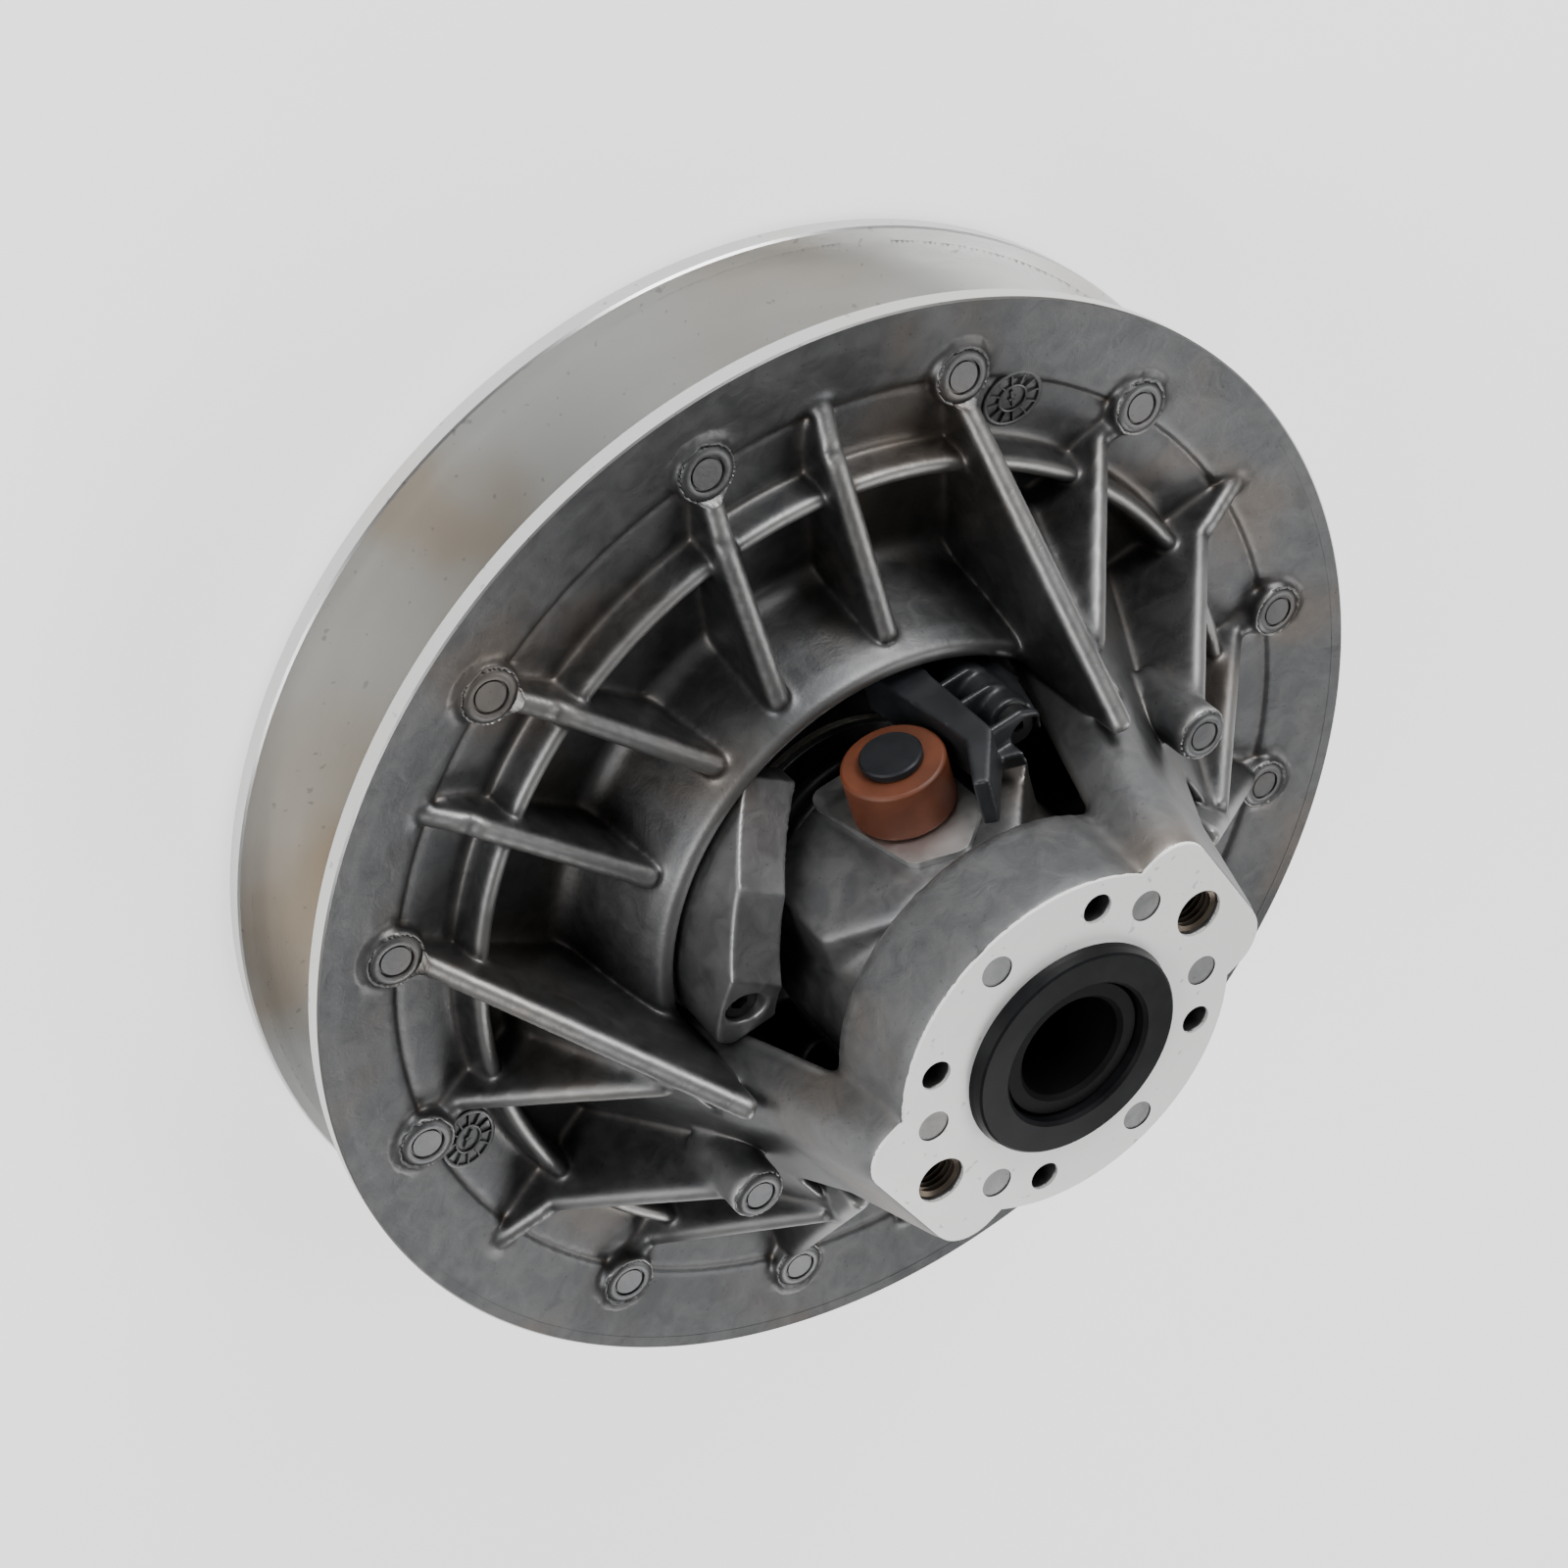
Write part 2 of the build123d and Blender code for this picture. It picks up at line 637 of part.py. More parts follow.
ramp_screws = []
buffer_screws = []
for name, turn in sides:
    ramp_hole = turned(ramp_screw_at, turn)
    buffer_hole = turned(buffer_screw_at, turn)
    with BuildPart() as cam_ramp:
        with BuildSketch(radial_plane(ramp_frame + turn, 20)):
            with BuildLine():
                Polyline(*ramp_outline, close=True)
            make_face()
        extrude(amount=50)
        with BuildSketch(Plane.XY):
            Circle(ramp_outer_radius)
            Circle(ramp_inner_radius, mode=Mode.SUBTRACT)
        extrude(amount=neck_rear_z, mode=Mode.INTERSECT)
        with BuildSketch(radial_plane(90 + turn, tower_half_width + wall_gap)):
            with Locations((0, 75)):
                Rectangle(160, 90)
        extrude(amount=60, mode=Mode.INTERSECT)
        with BuildSketch(Plane.XY.offset(ramp_seat_z)):
            with Locations(ramp_hole):
                Circle(screw_hole_radius)
        extrude(amount=30, mode=Mode.SUBTRACT)
        with BuildSketch(Plane.XY.offset(ramp_counterbore_z)):
            with Locations(ramp_hole):
                Circle(ramp_head_radius + 0.35)
        extrude(amount=20, mode=Mode.SUBTRACT)
    finish(cam_ramp.part, f"cam_ramp_{name}")

    with BuildPart() as buffer:
        with BuildSketch(radial_plane(roller_angle + turn, 44)):
            with BuildLine():
                Polyline(*buffer_arm_outline, close=True)
            make_face()
        extrude(amount=12.5)
        with BuildSketch(radial_plane(roller_angle + turn, buffer_inner)):
            with BuildLine():
                Polyline(*buffer_body_outline, close=True)
            make_face()
        extrude(amount=4)
        with BuildSketch(Plane.XY.offset(buffer_seat_z)):
            with Locations(buffer_hole):
                Circle(5.6)
        extrude(amount=buffer_boss_top_z - buffer_seat_z)
        # stiffening ribs of the plastic body
        for rib_z in (66.0, 74.0, 86.0):
            with BuildSketch(radial_plane(roller_angle + turn, buffer_inner)):
                with Locations((-25.5, rib_z)):
                    Rectangle(15, 1.8)
            extrude(amount=10)
        with BuildSketch(Plane.XY):
            Circle(inside_radius)
            Circle(buffer_inner, mode=Mode.SUBTRACT)
        extrude(amount=neck_rear_z, mode=Mode.INTERSECT)
        with BuildSketch(Plane.XY.offset(buffer_seat_z)):
            with Locations(buffer_hole):
                Circle(screw_hole_radius)
        extrude(amount=50, mode=Mode.SUBTRACT)
        with BuildSketch(Plane.XY.offset(buffer_boss_top_z)):
            with Locations(buffer_hole):
                Circle(buffer_head_radius + 0.3)
        extrude(amount=20, mode=Mode.SUBTRACT)
    finish(buffer.part, f"buffer_{name}")
    ramp_screws.append(make_screw(ramp_hole, ramp_head_radius, ramp_counterbore_z, 5.0, 2.3))
    buffer_screws.append(make_screw(buffer_hole, buffer_head_radius, buffer_boss_top_z, 2.6, 1.7))

finish(Compound(children=ramp_screws), "ramp_screws")
finish(Compound(children=buffer_screws), "buffer_screws")

# ---------------------------------------------------------------------------
# spring with its cup, and the plates under it
# ---------------------------------------------------------------------------
cup_wall = 1.5
cup_bottom_z = 86.0
cup_outer_radius = 30.6
spring_outer = spring_inner + spring_wire
plate_radius = 31.5

with BuildPart() as spring_cup:
    with BuildSketch(Plane.XY.offset(cup_bottom_z)):
        Circle(cup_outer_radius)
        Circle(cup_outer_radius - 1.4, mode=Mode.SUBTRACT)
    extrude(amount=carrier_floor_z - 0.05 - cup_bottom_z)
    with BuildSketch(Plane.XY.offset(carrier_floor_z - 0.05)):
        Circle(cup_outer_radius)
        Circle(carrier_hub_radius + 0.4, mode=Mode.SUBTRACT)
    extrude(amount=-cup_wall)
finish(spring_cup.part, "spring_cup")

with BuildPart() as spring:
    with BuildSketch(Plane.XY.offset(plate_top_z + 0.05)):
        Circle(spring_outer)
        Circle(spring_inner, mode=Mode.SUBTRACT)
    extrude(amount=carrier_floor_z - cup_wall - 0.1 - plate_top_z - 0.05)
finish(spring.part, "spring")

with BuildPart() as spring_plate:
    with BuildSketch(Plane.XY.offset(slip_top_z + 0.3)):
        Circle(plate_radius)
        Circle(sleeve_radius + 0.5, mode=Mode.SUBTRACT)
    extrude(amount=plate_top_z - slip_top_z - 0.3)
finish(spring_plate.part, "spring_plate")

with BuildPart() as slip_washer:
    with BuildSketch(Plane.XY.offset(cavity_floor_z + 0.02)):
        Circle(plate_radius)
        Circle(sleeve_radius + 0.3, mode=Mode.SUBTRACT)
    extrude(amount=slip_top_z - cavity_floor_z - 0.02)
finish(slip_washer.part, "slip_washer")
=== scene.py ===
import json
import math

import bmesh
import bpy
import numpy as np
from mathutils import Matrix, Vector


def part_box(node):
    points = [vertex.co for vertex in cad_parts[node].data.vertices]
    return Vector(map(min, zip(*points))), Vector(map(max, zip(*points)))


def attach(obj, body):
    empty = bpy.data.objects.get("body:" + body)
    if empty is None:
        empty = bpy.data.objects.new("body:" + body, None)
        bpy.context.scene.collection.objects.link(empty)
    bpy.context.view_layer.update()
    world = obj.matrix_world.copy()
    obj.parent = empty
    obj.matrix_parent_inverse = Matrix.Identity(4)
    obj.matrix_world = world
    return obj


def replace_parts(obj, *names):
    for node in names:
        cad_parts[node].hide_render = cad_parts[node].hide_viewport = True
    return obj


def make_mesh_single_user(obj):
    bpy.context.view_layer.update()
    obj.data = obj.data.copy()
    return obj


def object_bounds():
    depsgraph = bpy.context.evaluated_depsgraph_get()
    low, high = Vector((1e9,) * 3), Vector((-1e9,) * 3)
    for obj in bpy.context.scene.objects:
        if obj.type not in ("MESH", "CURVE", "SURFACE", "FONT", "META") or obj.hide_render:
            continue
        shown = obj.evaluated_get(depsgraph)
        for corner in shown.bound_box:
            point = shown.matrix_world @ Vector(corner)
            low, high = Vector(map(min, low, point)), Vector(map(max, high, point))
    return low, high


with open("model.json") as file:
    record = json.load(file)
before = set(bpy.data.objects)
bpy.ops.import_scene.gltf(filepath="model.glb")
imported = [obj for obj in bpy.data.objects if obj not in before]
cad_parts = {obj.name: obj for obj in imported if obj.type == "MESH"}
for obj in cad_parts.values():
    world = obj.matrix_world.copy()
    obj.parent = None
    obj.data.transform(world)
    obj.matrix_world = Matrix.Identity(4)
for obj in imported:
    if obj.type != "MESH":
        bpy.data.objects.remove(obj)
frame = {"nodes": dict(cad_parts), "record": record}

# Driven CVT pulley. Metres, in the CAD frame: Z is the shaft axis, z = 0 is the rear face of the
# fixed half, and the neck of the sliding half ends at the top.
cad_low, cad_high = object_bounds()
scene = bpy.context.scene
MM = 0.001

# ---------------------------------------------------------------------------
# Camera
# ---------------------------------------------------------------------------
CAMERA_PLACE = Vector((0.0130, -0.4577, 0.4679))
CAMERA_RIGHT = Vector((-0.696, 0.498, 0.517)).normalized()
CAMERA_BACK = Vector((0.019, -0.707, 0.707)).normalized()
CAMERA_LENS = 60.7


def make_camera():
    data = bpy.data.cameras.new("camera")
    data.lens = CAMERA_LENS
    data.sensor_width = 36.0
    camera = bpy.data.objects.new("camera", data)
    up = CAMERA_BACK.cross(CAMERA_RIGHT).normalized()
    right = up.cross(CAMERA_BACK).normalized()
    turn = Matrix((right, up, CAMERA_BACK)).transposed()
    camera.matrix_world = Matrix.Translation(CAMERA_PLACE) @ turn.to_4x4()
    scene.collection.objects.link(camera)
    scene.camera = camera


make_camera()


# ---------------------------------------------------------------------------
# Materials
# ---------------------------------------------------------------------------
materials = {}


def darker(color, share):
    return tuple(share * c for c in color)


class Shade:
    """A material being built: a Principled shader and short calls for the nodes that feed it."""

    def __init__(self, name, metallic=1.0, roughness=0.4):
        self.material = bpy.data.materials.new(name)
        self.material.use_nodes = True
        self.nodes = self.material.node_tree.nodes
        self.links = self.material.node_tree.links
        self.shader = self.nodes["Principled BSDF"]
        self.shader.inputs["Metallic"].default_value = metallic
        self.shader.inputs["Roughness"].default_value = roughness
        self.where = self.nodes.new("ShaderNodeTexCoord").outputs["Object"]

    def put(self, value, socket):
        if isinstance(value, bpy.types.NodeSocket):
            self.links.new(value, socket)
        elif socket.type == "RGBA":
            socket.default_value = (*value, 1)
        else:
            socket.default_value = value

    def math(self, operation, first, second=0.0):
        node = self.nodes.new("ShaderNodeMath")
        node.operation = operation
        self.put(first, node.inputs[0])
        self.put(second, node.inputs[1])
        return node.outputs[0]

    def span(self, value, low, high):
        """0 at low, 1 at high and a smooth step between them."""
        node = self.nodes.new("ShaderNodeMapRange")
        node.interpolation_type = "SMOOTHSTEP"
        self.put(value, node.inputs["Value"])
        node.inputs["From Min"].default_value = low
        node.inputs["From Max"].default_value = high
        return node.outputs["Result"]

    def mix(self, share, first, second):
        """first where share is 0, second where it is 1."""
        node = self.nodes.new("ShaderNodeMix")
        node.data_type = "RGBA"
        self.put(share, node.inputs["Factor"])
        socket_a, socket_b = [socket for socket in node.inputs if socket.type == "RGBA"]
        self.put(first, socket_a)
        self.put(second, socket_b)
        return next(out for out in node.outputs if out.type == "RGBA")

    def noise(self, scale, detail=3.0, rough=0.55, vector=None, twist=0.0):
        node = self.nodes.new("ShaderNodeTexNoise")
        self.links.new(vector or self.where, node.inputs["Vector"])
        node.inputs["Scale"].default_value = scale
        node.inputs["Detail"].default_value = detail
        node.inputs["Roughness"].default_value = rough
        node.inputs["Distortion"].default_value = twist
        return node.outputs["Fac"]

    def relief(self):
        """The castings' own record of how far a spot stands out (above 0.5) or lies in a hollow."""
        node = self.nodes.new("ShaderNodeAttribute")
        node.attribute_name = "relief"
        return node.outputs["Fac"]

    def lathe_vector(self):
        """A vector that changes fast with the radius and the height and slowly round the axis."""
        split = self.nodes.new("ShaderNodeSeparateXYZ")
        self.links.new(self.where, split.inputs[0])
        x, y, z = split.outputs
        radius = self.math("SQRT", self.math("ADD", self.math("MULTIPLY", x, x), self.math("MULTIPLY", y, y)))
        join = self.nodes.new("ShaderNodeCombineXYZ")
        self.put(radius, join.inputs[0])
        self.put(self.math("MULTIPLY", self.math("ARCTAN2", y, x), 0.02), join.inputs[1])
        self.put(z, join.inputs[2])
        return join.outputs[0]

    def color(self, value):
        self.put(value, self.shader.inputs["Base Color"])

    def rough(self, noise, swing, base):
        self.put(self.math("ADD", self.math("MULTIPLY", noise, swing), base), self.shader.inputs["Roughness"])

    def bump(self, height, distance, strength=0.5):
        node = self.nodes.new("ShaderNodeBump")
        self.put(height, node.inputs["Height"])
        node.inputs["Distance"].default_value = distance
        node.inputs["Strength"].default_value = strength
        self.links.new(node.outputs["Normal"], self.shader.inputs["Normal"])


STAIN = (0.20, 0.155, 0.115)              # brown of the old oil on the castings
EDGE_HIGHLIGHT = (0.46, 0.455, 0.445)          # painted highlight on the ribs and edges, in a light aluminium tone
WARM_TINT = (0.84, 0.73, 0.60)            # what a stain does to a machined face


def cast_metal(name, dark, light):
    """Die-cast aluminium: mottled tone, brown stains, fine grain, painted shade in the hollows and a painted
    highlight on the edges.
    """
    s = Shade(name)
    broad = s.noise(38, 4, 0.6, twist=0.4)
    patch = s.noise(160, 4, 0.6, twist=0.8)
    grain = s.noise(1400, 3, 0.6)
    tone = s.math("ADD", s.math("MULTIPLY", broad, 0.55), s.math("MULTIPLY", patch, 0.45))
    body = s.mix(s.span(tone, 0.34, 0.66), dark, light)
    stains = s.math("MULTIPLY", s.span(s.noise(22, 3, 0.5), 0.5, 0.72), 0.45)
    body = s.mix(stains, body, STAIN)
    specks = s.math("MULTIPLY", s.span(s.noise(900, 2, 0.5), 0.66, 0.74), 0.35)
    body = s.mix(specks, body, darker(dark, 0.45))
    relief = s.relief()
    # A mesh without the relief reads as 0, which the second factor makes neutral.
    # Painted shade: spots that lie in a hollow, by the relief, are darkened towards a dark brown.
    hollow_shade = s.math("MULTIPLY", s.span(relief, 0.50, 0.15), s.span(relief, 0.0, 0.02))
    body = s.mix(s.math("MULTIPLY", hollow_shade, 0.55), body, darker(STAIN, 0.55))
    # Painted highlight: spots that stand out, by the relief, are lightened towards a light aluminium tone.
    edges = s.math("MULTIPLY", s.span(relief, 0.58, 0.80), 0.6)
    s.color(s.mix(edges, body, EDGE_HIGHLIGHT))
    s.rough(patch, 0.20, 0.38)
    s.bump(s.math("ADD", s.math("MULTIPLY", grain, 0.25), patch), 0.22 * MM, 0.55)
    materials[name] = s.material


def turned_metal(name, color, rough, stain):
    """Machined aluminium with fine turning lines round the axis, warm clouds and small pits."""
    s = Shade(name)
    lines = s.noise(2600, 2, 0.5, vector=s.lathe_vector())
    bands = s.noise(240, 3, 0.5, vector=s.lathe_vector())
    clouds = s.math("MULTIPLY", s.span(s.noise(14, 3, 0.5), 0.50, 0.66), stain)
    body = s.mix(clouds, color, tuple(c * tint for c, tint in zip(color, WARM_TINT)))
    body = s.mix(s.math("MULTIPLY", bands, 0.16), body, darker(color, 0.6))
    pits = s.math("MULTIPLY", s.span(s.noise(420, 2, 0.4), 0.69, 0.75), 0.45)
    s.color(s.mix(pits, body, darker(color, 0.35)))
    s.rough(bands, 0.10, rough)
    s.bump(lines, 0.03 * MM)
    materials[name] = s.material


def plastic(name, color, rough, grain=900, depth=0.04 * MM):
    s = Shade(name, metallic=0.0)
    lighter = tuple(1.5 * c + 0.003 for c in color)
    s.color(s.mix(s.span(s.noise(90, 3, 0.5), 0.35, 0.7), color, lighter))
    s.rough(s.noise(300, 3, 0.6), 0.16, rough)
    s.bump(s.noise(grain, 3, 0.6), depth)
    materials[name] = s.material


def plain_metal(name, color, rough, metallic=1.0):
    s = Shade(name, metallic=metallic)
    s.color(s.mix(s.span(s.noise(120, 3, 0.5), 0.35, 0.7), color, darker(color, 0.72)))
    s.rough(s.noise(500, 3, 0.6), 0.16, rough)
    s.bump(s.noise(1200, 3, 0.6), 0.03 * MM)
    materials[name] = s.material


def set_shader(name, socket, value):
    materials[name].node_tree.nodes["Principled BSDF"].inputs[socket].default_value = value


cast_metal("cast_aluminium", (0.108, 0.110, 0.113), (0.165, 0.166, 0.168))
turned_metal("machined_aluminium", (0.61, 0.61, 0.60), 0.31, stain=0.85)
cast_metal("carrier_aluminium", (0.17, 0.173, 0.178), (0.27, 0.27, 0.27))
cast_metal("ramp_aluminium", (0.26, 0.263, 0.27), (0.36, 0.36, 0.362))
plain_metal("black_steel", (0.003, 0.003, 0.0034), 0.5, metallic=0.0)
plastic("black_bush", (0.0035, 0.0037, 0.0045), 0.30, grain=1600, depth=0.01 * MM)
plain_metal("bronze", (0.52, 0.36, 0.20), 0.38)
plain_metal("insert_steel", (0.17, 0.14, 0.11), 0.32)
plastic("roller_polymer", (0.090, 0.0235, 0.008), 0.42)
plain_metal("pin_steel", (0.035, 0.037, 0.042), 0.34, metallic=0.7)
plain_metal("plate_steel", (0.80, 0.80, 0.79), 0.30)
plastic("buffer_plastic", (0.009, 0.010, 0.012), 0.34)
plain_metal("screw_steel", (0.05, 0.05, 0.052), 0.38, metallic=0.8)
plain_metal("spring_steel", (0.08, 0.08, 0.085), 0.34, metallic=0.8)
plastic("washer_plastic", (0.62, 0.60, 0.52), 0.42)

# Looks of single faces, on top of the record's slots.
turned_metal("rim_land", (0.55, 0.553, 0.548), 0.24, stain=0.2)
turned_metal("neck_face", (0.93, 0.93, 0.915), 0.46, stain=0.05)
cast_metal("mark_floor", (0.20, 0.205, 0.205), (0.30, 0.30, 0.30))
# Painted shade: a darker casting look for the walls of the sunk marks and the floors of the cap grooves.
cast_metal("mark_edge", (0.06, 0.06, 0.06), (0.12, 0.12, 0.12))

set_shader("black_steel", "Specular IOR Level", 0.12)
set_shader("black_bush", "Specular IOR Level", 0.19)
set_shader("buffer_plastic", "Specular IOR Level", 0.6)
set_shader("neck_face", "Metallic", 0.45)

slot_of = {part["node"]: part["material_slot"] for part in frame["record"]["subparts"]}
for node_name, node in frame["nodes"].items():
    node.data.materials.clear()
    node.data.materials.append(materials[slot_of[node_name]])

# ---------------------------------------------------------------------------
# Sizes of the castings
# ---------------------------------------------------------------------------
RIM_RADIUS = 140 * MM
REAR_LAND = (2.2 * MM, 7.5 * MM)          # lower and upper edge of the fixed rim
FRONT_LAND = (46.7 * MM, 52.0 * MM)       # lower and upper edge of the sliding rim
LAND_CHAMFER = 0.45 * MM
FACE_SLOPE = math.tan(math.radians(13))   # of both belt faces
ANNULUS_SLOPE = 5.0 / 19.3                # of the smooth ring in front of the sliding rim
ANNULUS_INNER = 128.6 * MM
BELT_NOSE = 57 * MM                       # radius where the belt faces end
REAR_FLAT = 132.4 * MM                    # the back of the fixed half is flat outside this radius
STEP_RADIUS = 120.4 * MM                  # fine step round the web
STEP_Z = 46.4 * MM
WEB_THICKNESS = 4.3 * MM

NECK_TOP = 127.5 * MM
NECK_CUT = 126.7 * MM                     # the neck face is a piece of its own above this height
CASTING_TOP = 126.95 * MM                 # the casting ends inside that piece
NECK_REAR = 103 * MM
HUB_TOP = 47 * MM
NECK_BORE = 25.6 * MM
HUB_BORE = 24.2 * MM
THREAD_PLACES = ((39.6 * MM, 0.0), (-39.6 * MM, 0.0))
PLAIN_HOLES = tuple((side_x * 23.96 * MM, side_y * 26.06 * MM) for side_x in (1, -1) for side_y in (1, -1))
MARK_CIRCLE = 35.4 * MM
MARK_ANGLES = (25, 90, 155, 205, 270, 335)

BOSS_CIRCLE = 121.7 * MM
BOSS_ANGLES = (20, 45, 75, 105, 135, 160, 200, 225, 255, 285, 315, 340)
BOSS_TOP = 50.4 * MM
TOWER_BOSS_CIRCLE = 71 * MM
TOWER_BOSS_TOP = 95 * MM
# Half the section of a boss top: radius and height over its rim, in mm, from the middle outwards.
CAP_PROFILE = ((0.0, -0.32), (3.45, -0.32), (3.58, -0.75), (3.90, -0.75), (4.05, -0.12), (4.6, 0.0),
               (5.3, -0.08), (6.0, -0.42), (6.5, -1.0), (6.75, -1.9), (6.8, -5.0))
CAP_GROOVE = 1                            # the side of the profile that is the groove's floor

RING_INNER = 137 * MM                     # each rim is a turned ring outside this radius
SINK_START = 1.1 * MM                     # how far under the ring the casting keeps its shape
SINK_RADIUS = 138.6 * MM
SINK_DEPTH = 1.1 * MM
UNDER_RING = 0.07 * MM                    # the casting lies this much below the ring's faces


def sliding_face_z(radius):
    return FRONT_LAND[0] - (RIM_RADIUS - radius) * FACE_SLOPE


def fixed_face_z(radius):
    return REAR_LAND[1] + (RIM_RADIUS - radius) * FACE_SLOPE


def annulus_z(radius):
    return FRONT_LAND[1] - (RIM_RADIUS - radius) * ANNULUS_SLOPE


def on_circle(radius, degrees):
    return radius * math.cos(math.radians(degrees)), radius * math.sin(math.radians(degrees))


def cap_places():
    """Centre, height and size of each boss top."""
    web_caps = [(*on_circle(BOSS_CIRCLE, angle), BOSS_TOP, 1.0) for angle in BOSS_ANGLES]
    tower_caps = [(side * TOWER_BOSS_CIRCLE, 0.0, TOWER_BOSS_TOP, 0.93) for side in (1, -1)]
    return web_caps + tower_caps


# ---------------------------------------------------------------------------
# Mesh helpers
# ---------------------------------------------------------------------------
def own_mesh(node):
    """A closed copy of a CAD node's mesh."""
    bm = bmesh.new()
    bm.from_mesh(frame["nodes"][node].data)
    bmesh.ops.remove_doubles(bm, verts=bm.verts, dist=0.002 * MM)
    return bm


def mesh_of(name, bm):
    mesh = bpy.data.meshes.new(name)
    bm.to_mesh(mesh)
    bm.free()
    return mesh


def as_piece(name, mesh, looks, body, smooth=True):
    """A visual piece that rides on a body. looks are the names of its materials."""
    mesh.name = name
    for look in looks:
        mesh.materials.append(materials[look])
    mesh.polygons.foreach_set("use_smooth", [smooth] * len(mesh.polygons))
    piece = bpy.data.objects.new(name, mesh)
    scene.collection.objects.link(piece)
    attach(piece, body)
    return piece


def tube_faces(bm, loops, closed=True):
    """Joins each loop of vertices to the next one, and the last to the first if closed."""
    made = []
    following = loops[1:] + loops[:1] if closed else loops[1:]
    for here, there in zip(loops, following):
        for i in range(len(here)):
            j = (i + 1) % len(here)
            made.append((i, bm.faces.new((here[i], there[i], there[j], here[j]))))
    return made


def turned_loops(bm, profile, segments, centre=(0.0, 0.0)):
    """The (radius, height) profile repeated round an axis through the centre."""
    loops = []
    for k in range(segments):
        angle = 2 * math.pi * k / segments
        loops.append([bm.verts.new((centre[0] + r * math.cos(angle), centre[1] + r * math.sin(angle), z))
                      for r, z in profile])
    return loops


def voxel_mesh(node, voxel):
    """A CAD node's solid as an even, closed mesh without materials."""
    piece = bpy.data.objects.new("voxels", mesh_of("voxels", own_mesh(node)))
    scene.collection.objects.link(piece)
    remesh = piece.modifiers.new("remesh", "REMESH")
    remesh.mode = "VOXEL"
    remesh.voxel_size = voxel
    bpy.context.view_layer.update()
    result = bpy.data.meshes.new_from_object(piece.evaluated_get(bpy.context.evaluated_depsgraph_get()))
    bpy.data.objects.remove(piece)
    result.materials.clear()
    return result


def read_points(mesh):
    points = np.empty(len(mesh.vertices) * 3)
    mesh.vertices.foreach_get("co", points)
    return points.reshape(-1, 3)


def write_points(mesh, points):
    mesh.vertices.foreach_set("co", points.astype(np.float32).ravel())
    mesh.update()


def read_normals(mesh):
    normals = np.empty(len(mesh.vertices) * 3, np.float32)
    mesh.vertex_normals.foreach_get("vector", normals)
    return normals.reshape(-1, 3)


def radii(points):
    return np.hypot(points[:, 0], points[:, 1])


def ramp_up(values, low, high):
    return np.clip((values - low) / (high - low), 0, 1)


def most(masks):
    """The highest of several masks at each vertex."""
    result = np.zeros(len(masks[0]))
    for mask in masks:
        result = np.maximum(result, mask)
    return result


def neighbour_mean(mesh):
    """A call that gives the mean place of each vertex's neighbours."""
    edges = np.empty(len(mesh.edges) * 2, np.int32)
    mesh.edges.foreach_get("vertices", edges)
    first, second = edges[0::2], edges[1::2]
    start = np.concatenate((first, second))
    end = np.concatenate((second, first))
    count = len(mesh.vertices)
    share = 1.0 / np.maximum(np.bincount(start, minlength=count), 1)

    def mean(points):
        sums = [np.bincount(start, weights=points[end, axis], minlength=count) for axis in range(3)]
        return np.stack(sums, axis=1) * share[:, None]

    return mean


FILL_SPEED = 0.75                         # of the smoothing in an inner corner
RELIEF_ROUNDS = 14
RELIEF_SPAN = 2.4 * MM                    # difference in height from relief 0 to relief 1


def round_casting(mesh, keep, rounds, convex, swell=0.0):
    """Smooths a mesh, more in its inner corners than on its outer edges, and writes its relief.

    keep is 1 where nothing moves, convex the speed on outer edges, swell a growth before the start.
    """
    mean = neighbour_mean(mesh)
    loose = (1.0 - keep)[:, None]
    points = read_points(mesh) + read_normals(mesh) * np.broadcast_to(swell, len(keep))[:, None] * loose
    for turn in range(rounds):
        if turn % 3 == 0:
            write_points(mesh, points)
            normals = read_normals(mesh)
        step = mean(points) - points
        outward = (step * normals).sum(axis=1)[:, None]
        points = points + step * np.where(outward > 0, FILL_SPEED, convex) * loose
    write_points(mesh, points)
    spread = points
    for _ in range(RELIEF_ROUNDS):
        spread = mean(spread)
    height = ((points - spread) * read_normals(mesh)).sum(axis=1)
    relief = np.clip(0.5 + height / RELIEF_SPAN, 0, 1).astype(np.float32)
    mesh.attributes.new("relief", "FLOAT", "POINT").data.foreach_set("value", relief)
    return points


def sink_into_ring(points, low, high):
    """Hides the casting's own rim inside the turned ring between two heights."""
    radius = radii(points)
    inside = radius > RING_INNER + SINK_START
    scale = np.where(inside, np.minimum(radius, SINK_RADIUS) / np.maximum(radius, 1e-9), 1.0)
    points[:, 0] *= scale
    points[:, 1] *= scale
    points[:, 2] = np.where(inside, np.clip(points[:, 2], low + SINK_DEPTH, high - SINK_DEPTH), points[:, 2])


def machined_index(mesh, flat):
    """1 for each face whose corners are all in the flat mask, 0 for the others."""
    starts = np.empty(len(mesh.polygons), np.int32)
    mesh.polygons.foreach_get("loop_start", starts)
    corners = np.empty(len(mesh.loops), np.int32)
    mesh.loops.foreach_get("vertex_index", corners)
    return np.minimum.reduceat(flat[corners].astype(np.int32), starts)


# ---------------------------------------------------------------------------
# Castings: the CAD solid remeshed finely, with its corners rounded as they come from a die
# ---------------------------------------------------------------------------
RING_LOOKS = ("rim_land", "machined_aluminium", "cast_aluminium")
LAND, BELT_SIDE, CAST_SIDE = range(3)     # places in RING_LOOKS


def make_rim(name, profile, sides, body, node):
    """A turned ring: the closed profile carried round the axis. sides gives each side's look."""
    bm = bmesh.new()
    for side, face in tube_faces(bm, turned_loops(bm, profile, 360)):
        face.material_index = sides[side]
    bmesh.ops.recalc_face_normals(bm, faces=bm.faces)
    ring = as_piece(name, mesh_of(name, bm), RING_LOOKS, body)
    ring.data.set_sharp_from_angle(angle=math.radians(12))
    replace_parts(ring, node)


